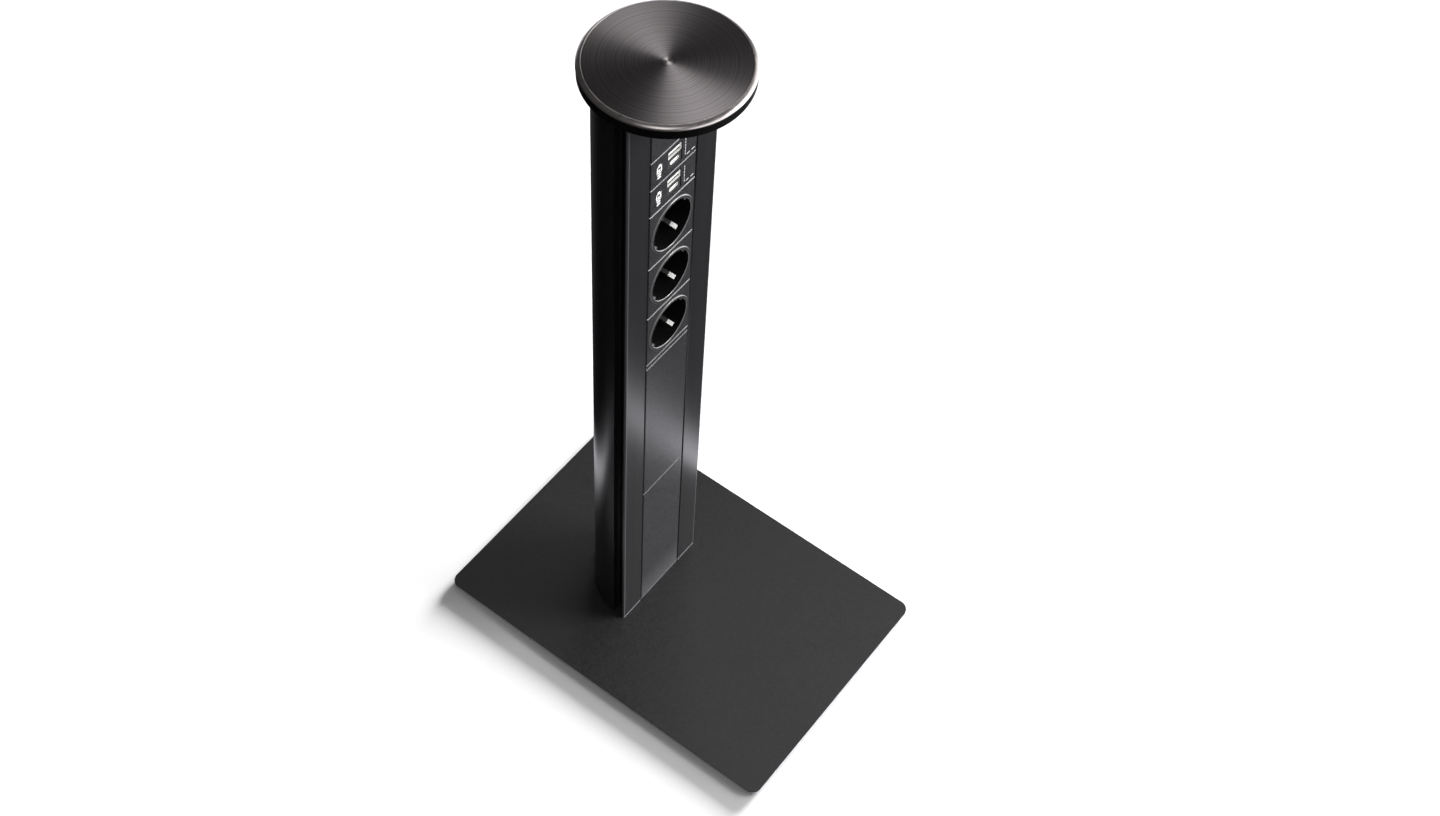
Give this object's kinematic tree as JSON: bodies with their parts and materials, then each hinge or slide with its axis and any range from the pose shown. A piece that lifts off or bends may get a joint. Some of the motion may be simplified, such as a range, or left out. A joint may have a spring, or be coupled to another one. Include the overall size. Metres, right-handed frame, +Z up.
{
  "type": "desk socket tower",
  "caption": "Upright desk socket tower: earthed sockets and USB chargers in a half-round aluminium column with a round metal cap, on a flat steel base.",
  "frame": {"origin": "centre of the base plate, on the surface that the tower stands on", "axes": "+Z up along the column, the sockets face -Y, +X to the right as the user sees them"},
  "size_m": [0.214, 0.309, 0.5892],
  "materials": {
    "powder_black": "fine-textured powder coat",
    "mat_rubber": "matt",
    "zinc_steel": "zinc plated",
    "spring_steel": "drawn wire",
    "anodised_black": "satin black anodised",
    "ring_black": "gloss",
    "lathe_steel": "circular lathe brushing",
    "inlay_black": "fine grain",
    "base_grey": "moulded",
    "nickel_strip": "nickel plated",
    "contact_brass": "stamped",
    "shutter_white": "moulded",
    "charger_black": "moulded",
    "port_steel": "stamped",
    "port_white": "moulded",
    "rail_ivory": "moulded",
    "wire_skin": "insulation",
    "gland_black": "moulded"
  },
  "bodies": {
    "tower": {"base_plate": "powder_black", "base_mat": "mat_rubber", "base_screws": "zinc_steel", "tower_profile": "anodised_black", "cap_ring": "ring_black", "cap_disc": "lathe_steel", "cap_screws": "zinc_steel", "top_cover": "inlay_black", "upper_cover": "inlay_black", "lower_cover": "inlay_black", "spacer_strip": "inlay_black", "socket_insert_1": "inlay_black", "socket_insert_2": "inlay_black", "socket_insert_3": "inlay_black", "socket_base_1": "base_grey", "socket_base_2": "base_grey", "socket_base_3": "base_grey", "earth_clip_1": "nickel_strip", "earth_clip_2": "nickel_strip", "earth_clip_3": "nickel_strip", "pin_contacts_1": "contact_brass", "pin_contacts_2": "contact_brass", "pin_contacts_3": "contact_brass", "shutter_spring_1": "spring_steel", "shutter_spring_2": "spring_steel", "shutter_spring_3": "spring_steel", "socket_screws": "zinc_steel", "earth_rivets": "contact_brass", "usb_frame_1": "inlay_black", "usb_frame_2": "inlay_black", "usb_charger_1": "charger_black", "usb_charger_2": "charger_black", "usb_shells_1": "port_steel", "usb_shells_2": "port_steel", "usb_tongues_1": "port_white", "usb_tongues_2": "port_white", "live_bar": "contact_brass", "neutral_bar": "contact_brass", "earth_bar": "contact_brass", "busbar_rail": "rail_ivory", "supply_wires": "wire_skin", "mains_terminal": "rail_ivory", "cable_gland": "gland_black", "gland_nut": "gland_black"},
    "shutter_1": {"shutter_1": "shutter_white"},
    "shutter_2": {"shutter_2": "shutter_white"},
    "shutter_3": {"shutter_3": "shutter_white"}
  },
  "joints": [
    {"name": "shutter_1_turn", "type": "hinge", "parent": "tower", "child": "shutter_1", "pos_m": [0, 0.0436, 0.4475], "axis": [0, -1, 0], "range_deg": [0, 38], "stiffness_Nm_per_rad": 0.001, "springref_deg": -22.92, "deforming": ["shutter_spring_1"]},
    {"name": "shutter_2_turn", "type": "hinge", "parent": "tower", "child": "shutter_2", "pos_m": [0, 0.0436, 0.3961], "axis": [0, -1, 0], "range_deg": [0, 38], "stiffness_Nm_per_rad": 0.001, "springref_deg": -22.92, "deforming": ["shutter_spring_2"]},
    {"name": "shutter_3_turn", "type": "hinge", "parent": "tower", "child": "shutter_3", "pos_m": [0, 0.0436, 0.3447], "axis": [0, -1, 0], "range_deg": [0, 38], "stiffness_Nm_per_rad": 0.001, "springref_deg": -22.92, "deforming": ["shutter_spring_3"]}
  ]
}
